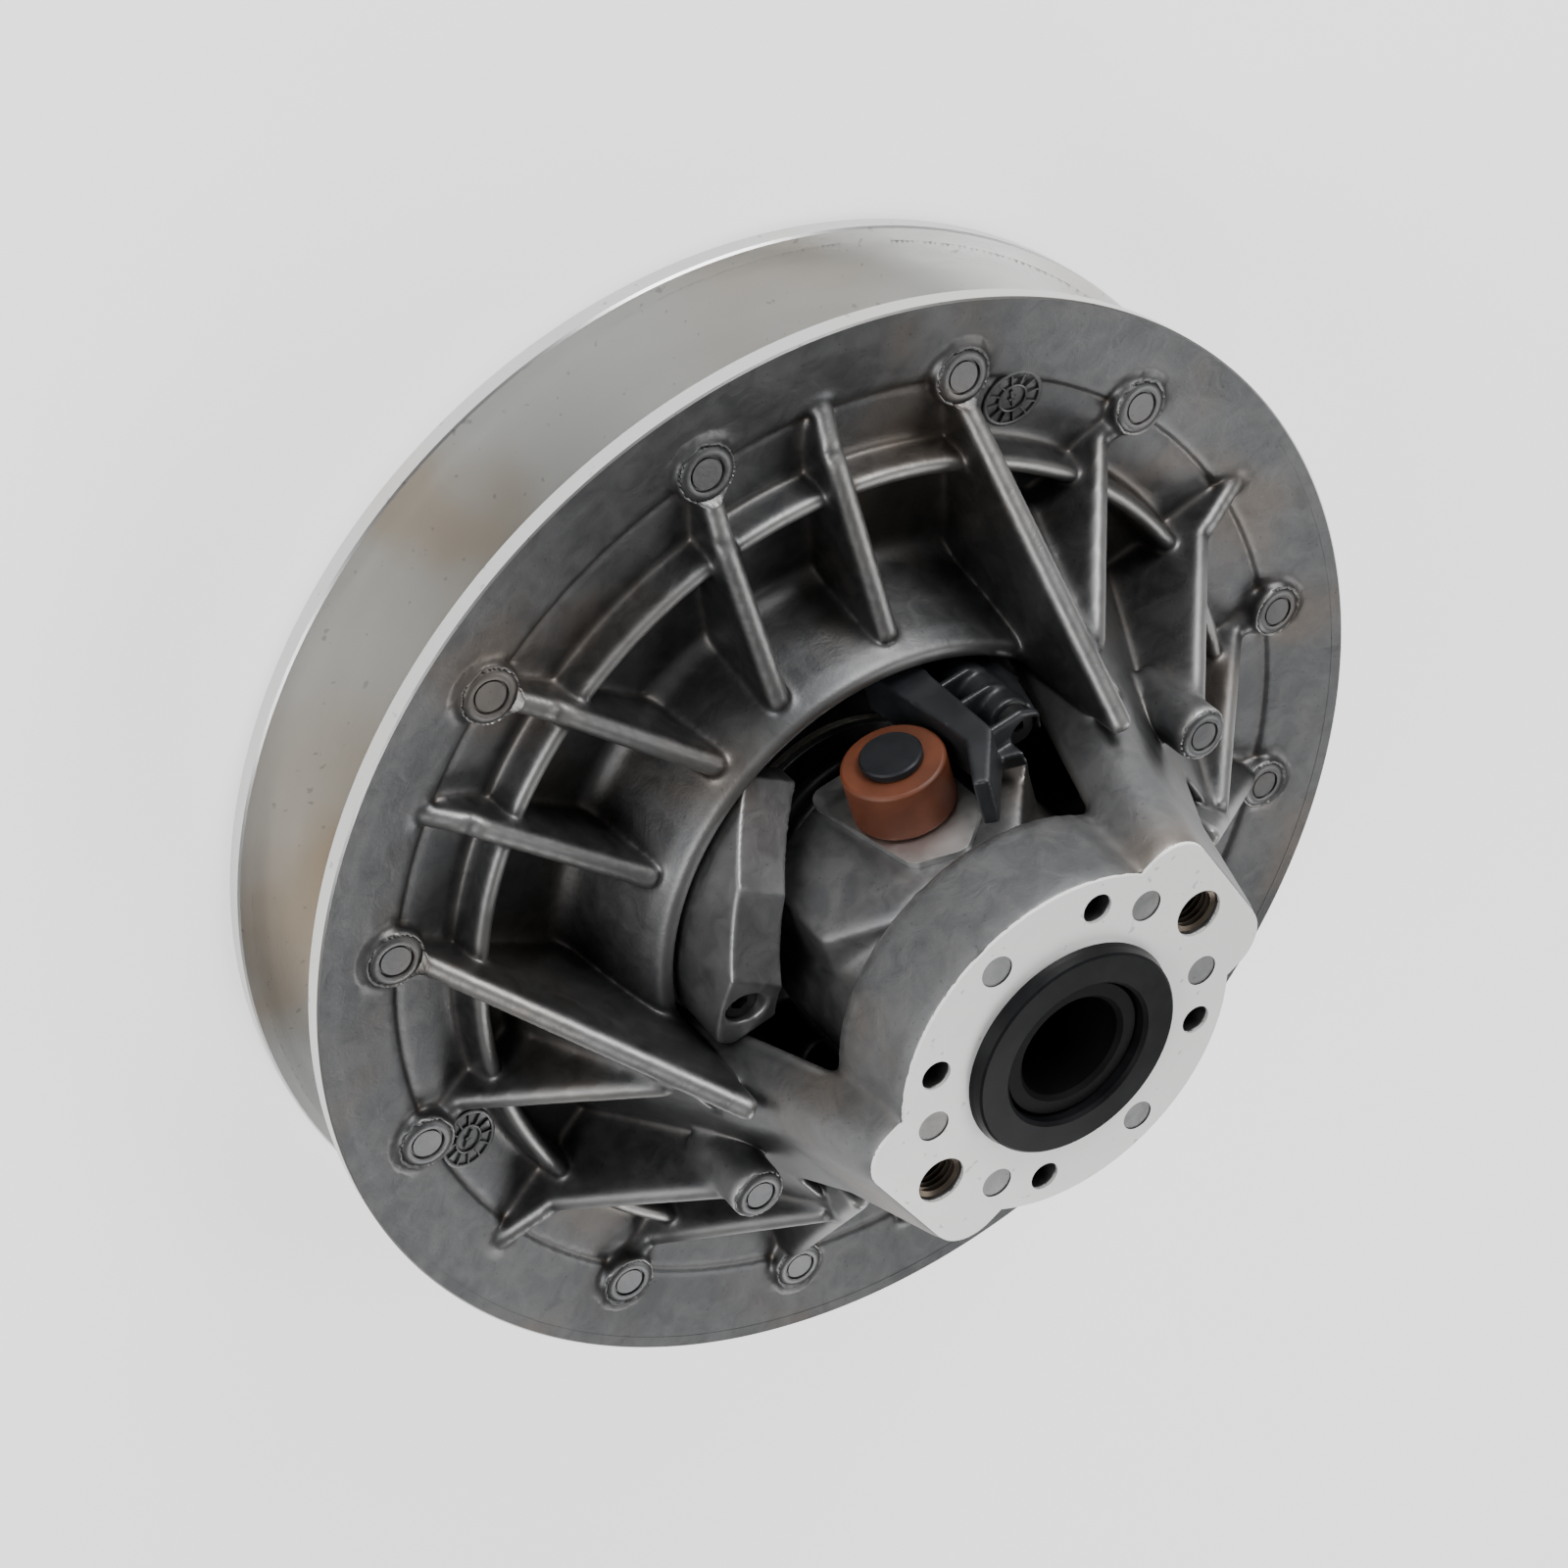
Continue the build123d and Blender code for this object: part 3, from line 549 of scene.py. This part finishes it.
def make_sliding_casting():
    mesh = voxel_mesh("sliding_sheave", 0.72 * MM)
    points = read_points(mesh)
    x, y, z = points.T
    radius = radii(points)
    on_belt_face = (np.abs(z - sliding_face_z(radius)) < 0.5 * MM) & (radius > BELT_NOSE + 0.5 * MM)
    on_step = (np.abs(radius - STEP_RADIUS) < 1.3 * MM) & (np.abs(z - STEP_Z) < 1.0 * MM)
    threads = [(np.hypot(x - px, y - py) < 6.2 * MM) & (z > 100 * MM) for px, py in THREAD_PLACES]
    holes = [(np.hypot(x - px, y - py) < 4.2 * MM) & (z > 112 * MM) for px, py in PLAIN_HOLES]
    keep = most([
        ramp_up(z, 125.2 * MM, 126.8 * MM),
        ramp_up(radius, 133 * MM, RING_INNER),
        (radius < NECK_BORE) & (z > NECK_REAR),
        (radius < HUB_BORE) & (z < HUB_TOP),
        on_belt_face, 0.97 * on_step, *threads, *holes,
    ])
    proud = z > annulus_z(radius) + 0.5 * MM
    swell = 0.35 * MM * ((radius < 122 * MM) | proud)
    points = round_casting(mesh, keep, 18, convex=0.25, swell=swell)

    radius = radii(points)
    under = UNDER_RING * ramp_up(radius, 134 * MM, 136.5 * MM)
    points[:, 2] = np.where(on_belt_face, sliding_face_z(radius) + under, points[:, 2])
    on_annulus = (np.abs(points[:, 2] - annulus_z(radius)) < 0.25 * MM) & (radius > ANNULUS_INNER)
    points[:, 2] = np.where(on_annulus, annulus_z(radius) - under, points[:, 2])
    points[:, 2] = np.minimum(points[:, 2], CASTING_TOP)
    for px, py, top, size in cap_places():
        near = np.hypot(points[:, 0] - px, points[:, 1] - py) < 6.3 * size * MM
        under_cap = near & (points[:, 2] > top - 3 * MM)
        points[:, 2] = np.where(under_cap, np.minimum(points[:, 2], top - 1.3 * MM), points[:, 2])
    sink_into_ring(points, *FRONT_LAND)
    write_points(mesh, points)
    piece = as_piece("sheave_casting", mesh, ("cast_aluminium", "machined_aluminium"),
                     "sliding_half")
    mesh.polygons.foreach_set("material_index", machined_index(mesh, on_belt_face))
    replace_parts(piece, "sliding_sheave")


def make_sliding_rim():
    make_rim("sliding_rim", [
        (RING_INNER, sliding_face_z(RING_INNER)),
        (RIM_RADIUS - LAND_CHAMFER, sliding_face_z(RIM_RADIUS - LAND_CHAMFER)),
        (RIM_RADIUS, FRONT_LAND[0] + LAND_CHAMFER),
        (RIM_RADIUS, FRONT_LAND[1] - LAND_CHAMFER),
        (RIM_RADIUS - LAND_CHAMFER, annulus_z(RIM_RADIUS - LAND_CHAMFER)),
        (RING_INNER, annulus_z(RING_INNER)),
    ], (BELT_SIDE, LAND, LAND, LAND, CAST_SIDE, CAST_SIDE), "sliding_half", "sliding_sheave")


def make_neck_face():
    """The machined end of the neck, cut from the CAD mesh, with its sunk ejector marks."""
    bm = own_mesh("sliding_sheave")
    cut = bmesh.ops.bisect_plane(bm, geom=bm.verts[:] + bm.edges[:] + bm.faces[:],
                                 plane_co=(0, 0, NECK_CUT), plane_no=(0, 0, 1), clear_inner=True)
    cut_edges = [item for item in cut["geom_cut"] if isinstance(item, bmesh.types.BMEdge)]
    bmesh.ops.triangle_fill(bm, use_beauty=True, use_dissolve=False, edges=cut_edges)
    bmesh.ops.recalc_face_normals(bm, faces=bm.faces)
    marks = [on_circle(MARK_CIRCLE, angle) for angle in MARK_ANGLES]
    for polygon in bm.faces:
        middle = polygon.calc_center_median()
        depth = NECK_TOP - middle.z
        in_mark = any(math.hypot(middle.x - px, middle.y - py) < 4.0 * MM for px, py in marks)
        if in_mark and 0.05 * MM < depth < 0.4 * MM:
            # The mark floors get the as-cast look, the mark walls the dark look of painted shade.
            polygon.material_index = 1 if abs(polygon.normal.z) > 0.5 else 2
    face = as_piece("neck_face", mesh_of("neck_face", bm), ("neck_face", "mark_floor", "mark_edge"),
                    "sliding_half", smooth=False)
    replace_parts(face, "sliding_sheave")


def make_boss_caps():
    """The tops of the ejector bosses: a rounded rim round a small sunk disc."""
    bm = bmesh.new()
    for px, py, top, size in cap_places():
        profile = [(size * r * MM, top + h * MM) for r, h in CAP_PROFILE]
        loops = turned_loops(bm, profile[1:], 48, centre=(px, py))
        centre_top = bm.verts.new((px, py, profile[0][1]))
        centre_low = bm.verts.new((px, py, profile[-1][1]))
        for here, there in zip(loops, loops[1:] + loops[:1]):
            bm.faces.new((centre_top, here[0], there[0]))
            bm.faces.new((centre_low, there[-1], here[-1]))
            for i in range(len(here) - 1):
                face = bm.faces.new((here[i], here[i + 1], there[i + 1], there[i]))
                # The groove's floor gets the dark look of painted shade.
                face.material_index = 1 if i == CAP_GROOVE else 0
    bmesh.ops.recalc_face_normals(bm, faces=bm.faces)
    caps = as_piece("boss_caps", mesh_of("boss_caps", bm), ("cast_aluminium", "mark_edge"),
                    "sliding_half")
    caps.data.set_sharp_from_angle(angle=math.radians(32))


def make_fixed_casting():
    mesh = voxel_mesh("fixed_sheave", 1.0 * MM)
    points = read_points(mesh)
    z = points[:, 2]
    radius = radii(points)
    nose_z = fixed_face_z(BELT_NOSE)
    on_belt_face = (np.abs(z - fixed_face_z(radius)) < 0.6 * MM) & (radius > BELT_NOSE)
    on_nose = (np.abs(z - nose_z) < 0.6 * MM) & (radius < BELT_NOSE)
    keep = most([on_belt_face, on_nose, ramp_up(radius, 134 * MM, RING_INNER), radius < 24.5 * MM])
    points = round_casting(mesh, keep, 16, convex=0.4)

    radius = radii(points)
    under = UNDER_RING * ramp_up(radius, 134 * MM, 136.5 * MM)
    points[:, 2] = np.where(on_belt_face, fixed_face_z(radius) - under, points[:, 2])
    points[:, 2] = np.where(on_nose, nose_z, points[:, 2])
    on_rear = (np.abs(points[:, 2] - REAR_LAND[0]) < 0.4 * MM) & (radius > REAR_FLAT)
    points[:, 2] = np.where(on_rear, REAR_LAND[0] + under, points[:, 2])
    points[:, 2] = np.maximum(points[:, 2], 0)
    sink_into_ring(points, *REAR_LAND)
    write_points(mesh, points)
    piece = as_piece("fixed_casting", mesh, ("cast_aluminium", "machined_aluminium"),
                     "fixed_half")
    mesh.polygons.foreach_set("material_index", machined_index(mesh, on_belt_face | on_nose))
    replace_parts(piece, "fixed_sheave")


def make_fixed_rim():
    make_rim("fixed_rim", [
        (RING_INNER, REAR_LAND[0]),
        (RIM_RADIUS - LAND_CHAMFER, REAR_LAND[0]),
        (RIM_RADIUS, REAR_LAND[0] + LAND_CHAMFER),
        (RIM_RADIUS, REAR_LAND[1] - LAND_CHAMFER),
        (RIM_RADIUS - LAND_CHAMFER, fixed_face_z(RIM_RADIUS - LAND_CHAMFER)),
        (RING_INNER, fixed_face_z(RING_INNER)),
    ], (CAST_SIDE, LAND, LAND, LAND, BELT_SIDE, CAST_SIDE), "fixed_half", "fixed_sheave")


def make_carrier_casting():
    mesh = voxel_mesh("roller_carrier", 0.55 * MM)
    radius = radii(read_points(mesh))
    bore_and_ends = most([radius < 18.6 * MM, radius > 45 * MM])
    round_casting(mesh, bore_and_ends, 26, convex=0.6)
    piece = as_piece("carrier_casting", mesh, ("carrier_aluminium",), "fixed_half")
    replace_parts(piece, "roller_carrier")


def make_rounded(node, slot, body):
    """A small part whose edges are rounded all over."""
    mesh = voxel_mesh(node, 0.42 * MM)
    round_casting(mesh, np.zeros(len(mesh.vertices)), 8, convex=0.5)
    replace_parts(as_piece(node + "_rounded", mesh, (slot,), body), node)


def crisp_edges(node, width):
    """Small bevels on the edges of a CAD part that keeps its own mesh."""
    piece = frame["nodes"][node]
    if "custom_normal" in piece.data.attributes:
        piece.data.attributes.remove(piece.data.attributes["custom_normal"])
    weld = piece.modifiers.new("weld", "WELD")
    weld.merge_threshold = 0.002 * MM
    bevel = piece.modifiers.new("bevel", "BEVEL")
    bevel.width = width
    bevel.segments = 2
    bevel.limit_method = "ANGLE"
    bevel.angle_limit = math.radians(40)
    bevel.harden_normals = True


make_sliding_casting()
make_sliding_rim()
make_neck_face()
make_boss_caps()
make_fixed_casting()
make_fixed_rim()
make_carrier_casting()
for side in ("a", "b"):
    make_rounded("cam_ramp_" + side, "ramp_aluminium", "sliding_half")
    make_rounded("buffer_" + side, "buffer_plastic", "sliding_half")
    for node_name in ("roller_pin_", "thrust_plate_", "roller_"):
        crisp_edges(node_name + side, 0.3 * MM)
for node_name in ("carrier_ring", "post_ring", "spring_cup", "spring_plate", "ramp_screws", "buffer_screws"):
    crisp_edges(node_name, 0.25 * MM)


# ---------------------------------------------------------------------------
# Coils: the closing spring and the wire thread inserts
# ---------------------------------------------------------------------------
COIL_STEPS = 48                           # loops in one turn
SPRING_WIRE = 2.15 * MM                   # half the wire
SPRING_TURNS = 6.4
SPRING_END_TURNS = 0.9                    # turns that lie closed at each end
INSERT_RADIUS = 5.70 * MM
INSERT_PITCH = 1.5 * MM
INSERT_SECTION = ((0, -0.70 * MM), (-1.0 * MM, -0.10 * MM), (-1.0 * MM, 0.10 * MM), (0, 0.70 * MM))


def coil_mesh(bm, centre, radius, low, high, turns, section, flat_turns=0.0):
    """A coil of the given section [(outward, up)] between two heights, with flat_turns closed at each end."""
    count = int(turns * COIL_STEPS)
    lie = 2 * max(abs(up) for _, up in section)
    rise = (high - low) - lie - 2 * flat_turns * lie
    loops = []
    for k in range(count + 1):
        turn = turns * k / count
        if turn < flat_turns:
            z = low + lie / 2 + lie * turn
        elif turn > turns - flat_turns:
            z = high - lie / 2 - lie * (turns - turn)
        else:
            z = low + lie / 2 + lie * flat_turns + rise * (turn - flat_turns) / (turns - 2 * flat_turns)
        angle = 2 * math.pi * turn
        loops.append([bm.verts.new((centre[0] + (radius + outward) * math.cos(angle),
                                    centre[1] + (radius + outward) * math.sin(angle), z + up))
                      for outward, up in section])
    tube_faces(bm, loops, closed=False)
    bm.faces.new(loops[0])
    bm.faces.new(list(reversed(loops[-1])))


def round_section(radius, sides=14):
    angles = [2 * math.pi * k / sides for k in range(sides)]
    return [(radius * math.cos(angle), radius * math.sin(angle)) for angle in angles]


def make_spring():
    low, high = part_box("spring")
    bm = bmesh.new()
    coil_mesh(bm, (0, 0), high.x - SPRING_WIRE, low.z, high.z, SPRING_TURNS, round_section(SPRING_WIRE),
              flat_turns=SPRING_END_TURNS)
    bmesh.ops.recalc_face_normals(bm, faces=bm.faces)
    piece = as_piece("closing_spring", mesh_of("closing_spring", bm), ("spring_steel",),
                     "fixed_half")
    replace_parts(piece, "spring")
    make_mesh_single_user(piece)


def make_thread_coils():
    low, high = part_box("thread_inserts")
    turns = (high.z - low.z - 1.6 * MM) / INSERT_PITCH
    bm = bmesh.new()
    for place in THREAD_PLACES:
        coil_mesh(bm, place, INSERT_RADIUS, low.z + 0.1 * MM, high.z - 0.6 * MM, turns, INSERT_SECTION)
    bmesh.ops.recalc_face_normals(bm, faces=bm.faces)
    piece = as_piece("thread_coils", mesh_of("thread_coils", bm), ("insert_steel",),
                     "sliding_half")
    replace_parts(piece, "thread_inserts")
    piece.data.set_sharp_from_angle(angle=math.radians(35))


make_spring()
make_thread_coils()


# ---------------------------------------------------------------------------
# Date stamps cast into the web: two raised rings with ticks and a plain mark, no lettering
# ---------------------------------------------------------------------------
STAMP_SIZE = 7.4 * MM                     # radius of the outer ring
STAMP_LIFT = 0.55 * MM
STAMP_RINGS = ((1.0, 0.87), (0.50, 0.42))  # outer and inner radius, in shares of the size
STAMP_TICKS = 12
MARK_TURN = 0.6


def stamp_bar(bm, angle, start, end, half_width):
    """A raised bar from start to end along the ray at an angle, a little narrower at its top."""
    turn = Matrix.Rotation(angle, 4, "Z")
    corners = []
    for height, width in ((-1.0, half_width), (0.95, 0.7 * half_width)):
        for u, v in ((start, -width), (end, -width), (end, width), (start, width)):
            corners.append(bm.verts.new(turn @ Vector((STAMP_SIZE * u, STAMP_SIZE * v, STAMP_LIFT * height))))
    for face in ((0, 3, 2, 1), (4, 5, 6, 7), (0, 1, 5, 4), (1, 2, 6, 5), (2, 3, 7, 6), (3, 0, 4, 7)):
        bm.faces.new([corners[i] for i in face])


def make_date_stamp(name, radius_at, angle):
    bm = bmesh.new()
    for outer, inner in STAMP_RINGS:
        section = ((outer, -1.0), (outer, 0.75), (outer - 0.03, 1.0),
                   (inner + 0.03, 1.0), (inner, 0.75), (inner, -1.0))
        tube_faces(bm, turned_loops(bm, [(STAMP_SIZE * r, STAMP_LIFT * h) for r, h in section], 48))
    for k in range(STAMP_TICKS):
        stamp_bar(bm, 2 * math.pi * k / STAMP_TICKS, 0.50, 0.88, 0.035)
    stamp_bar(bm, MARK_TURN, -0.30, 0.30, 0.06)
    stamp_bar(bm, MARK_TURN + math.pi / 2, -0.12, 0.12, 0.06)
    bmesh.ops.recalc_face_normals(bm, faces=bm.faces)
    web_top = sliding_face_z(radius_at) + WEB_THICKNESS
    place = (Matrix.Rotation(math.radians(angle), 4, "Z") @ Matrix.Translation((radius_at, 0, web_top))
             @ Matrix.Rotation(-math.atan(FACE_SLOPE), 4, "Y"))
    bmesh.ops.transform(bm, matrix=place, verts=bm.verts)
    piece = as_piece(name, mesh_of(name, bm), ("cast_aluminium",), "sliding_half")
    piece.data.set_sharp_from_angle(angle=math.radians(40))


make_date_stamp("date_stamp_a", 115 * MM, 216)
make_date_stamp("date_stamp_b", 113 * MM, 345.5)


# ---------------------------------------------------------------------------
# Floor and lights
# ---------------------------------------------------------------------------
FLOOR_SIDE = 6.0                          # half its width
FLOOR_GAP = 0.4 * MM                      # between the floor and the pulley
FLOOR_GLOW = 1.1                          # brings the floor near the photo's white
WORLD_STRENGTH = 0.22


def make_floor():
    mesh = bpy.data.meshes.new("floor")
    z = cad_low.z - FLOOR_GAP
    corners = [(x * FLOOR_SIDE, y * FLOOR_SIDE, z) for x, y in ((-1, -1), (1, -1), (1, 1), (-1, 1))]
    mesh.from_pydata(corners, [], [(0, 1, 2, 3)])
    floor = bpy.data.objects.new("floor", mesh)
    scene.collection.objects.link(floor)
    s = Shade("floor_paper", metallic=0.0, roughness=0.8)
    s.color(s.mix(s.noise(30, 2, 0.5), (0.90, 0.90, 0.90), (0.93, 0.93, 0.93)))
    s.shader.inputs["Emission Color"].default_value = (1, 1, 1, 1)
    s.shader.inputs["Emission Strength"].default_value = FLOOR_GLOW
    mesh.materials.append(s.material)


def make_light(name, place, target_z, size, power):
    """A square area light that points at the shaft axis at the height target_z."""
    data = bpy.data.lights.new(name, "AREA")
    data.size = size
    data.energy = power
    light = bpy.data.objects.new(name, data)
    light.location = place
    light.rotation_euler = (Vector((0, 0, target_z)) - Vector(place)).to_track_quat("-Z", "Y").to_euler()
    scene.collection.objects.link(light)


def make_world():
    world = bpy.data.worlds.new("studio")
    world.use_nodes = True
    background = world.node_tree.nodes["Background"]
    background.inputs["Color"].default_value = (1.0, 1.0, 1.0, 1)
    background.inputs["Strength"].default_value = WORLD_STRENGTH
    scene.world = world


make_floor()
make_light("key", (-0.55, 0.62, 1.0), 0.05, 0.6, 5)
make_light("side", (0.40, 1.08, 0.87), 0.05, 0.5, 6.5)
make_light("low", (-0.95, -0.85, 0.5), 0.06, 0.6, 15)
make_light("front", (0.9, -0.9, 0.7), 0.05, 0.6, 10)
make_world()
